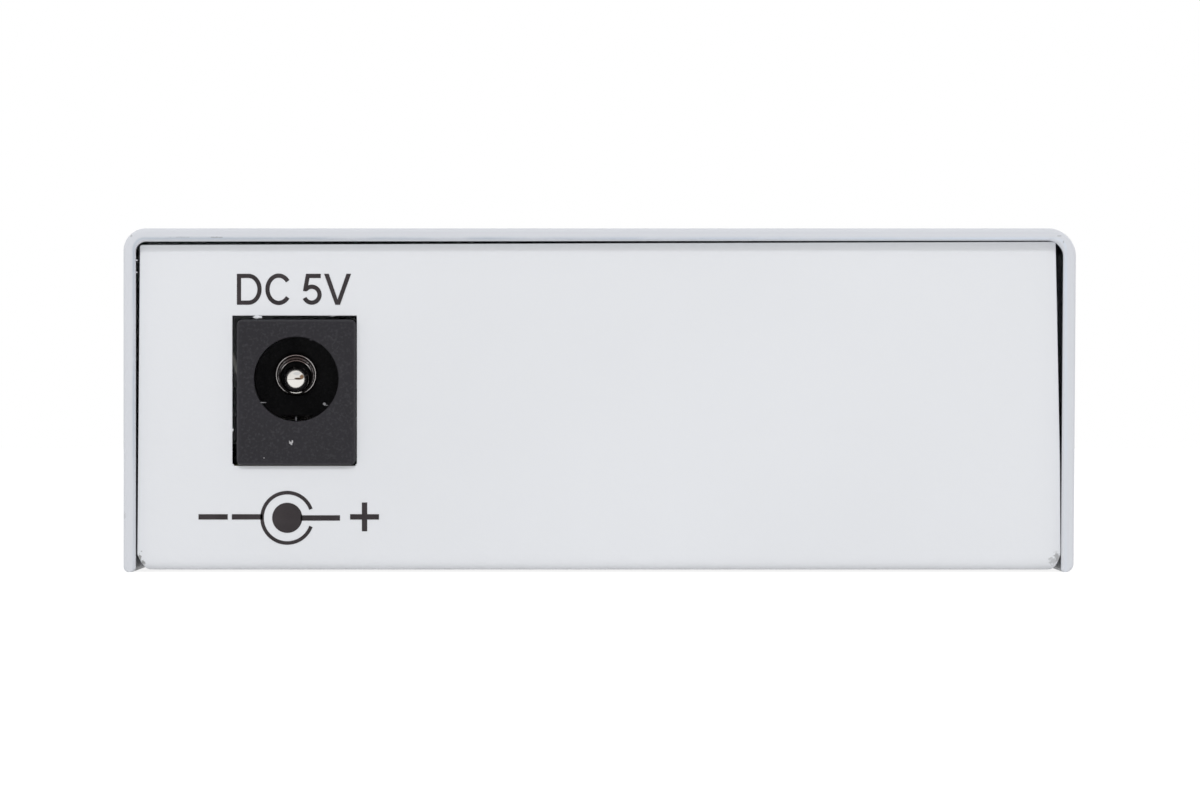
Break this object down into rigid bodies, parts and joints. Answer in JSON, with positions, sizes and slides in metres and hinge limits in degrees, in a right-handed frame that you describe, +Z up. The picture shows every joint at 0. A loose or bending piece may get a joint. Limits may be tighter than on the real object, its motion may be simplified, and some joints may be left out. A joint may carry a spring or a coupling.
{
  "type": "fibre media converter",
  "caption": "Flat sheet-metal box that turns copper network signals into light: barrel power socket at one end; network socket, twin fibre ports and lamps at the other.",
  "frame": {"origin": "middle of the footprint, on the surface the case stands on", "axes": "+Z up; the power socket faces -Y and the data ports face +Y; +X is to the right when looking at the power socket"},
  "size_m": [0.072, 0.094, 0.026],
  "materials": {
    "cover_paint": "pale grey powder coat",
    "tray_paint": "pale grey powder coat, smoother than the cover's",
    "screw_steel": "nickel-plated steel",
    "standoff_steel": "zinc-plated steel",
    "board_green": "green solder mask on glass epoxy",
    "black_plastic": "matt black moulding",
    "nickel": "bright nickel plate",
    "tinned_sheet": "tinned sheet",
    "gold": "gold-flashed contact",
    "moulded_epoxy": "moulded epoxy",
    "fibre_plastic": "black moulding",
    "sleeve_metal": "turned stainless",
    "clip_plastic": "natural moulding",
    "lamp_lens": "clear tinted lens",
    "can_aluminium": "satin can",
    "ceramic_body": "fired ceramic"
  },
  "bodies": {
    "root": {"cover": "cover_paint", "base_tray": "tray_paint", "cover_screws": "screw_steel", "board_standoffs": "standoff_steel", "board_screws": "screw_steel", "circuit_board": "board_green", "power_inlet_housing": "black_plastic", "power_inlet_centre_pin": "nickel", "power_inlet_eyelet": "nickel", "power_inlet_spring": "nickel", "power_inlet_switch_contact": "nickel", "network_socket_shield": "tinned_sheet", "network_socket_insert": "black_plastic", "network_socket_contacts": "gold", "network_transformer": "moulded_epoxy", "network_transformer_leads": "tinned_sheet", "fibre_transceiver_housing": "fibre_plastic", "fibre_sleeves": "sleeve_metal", "fibre_latch_clips": "clip_plastic", "laser_can": "sleeve_metal", "photodiode_can": "sleeve_metal", "transceiver_board": "board_green", "transceiver_pins": "gold", "status_lamps": "lamp_lens", "lamp_holder": "black_plastic", "converter_chip": "moulded_epoxy", "converter_chip_leads": "tinned_sheet", "regulator": "moulded_epoxy", "regulator_leads": "tinned_sheet", "inductor": "moulded_epoxy", "inductor_terminals": "tinned_sheet", "capacitor_bases": "black_plastic", "capacitor_cans": "can_aluminium", "crystal": "tinned_sheet", "chip_resistors": "moulded_epoxy", "chip_capacitors": "ceramic_body"}
  },
  "joints": []
}
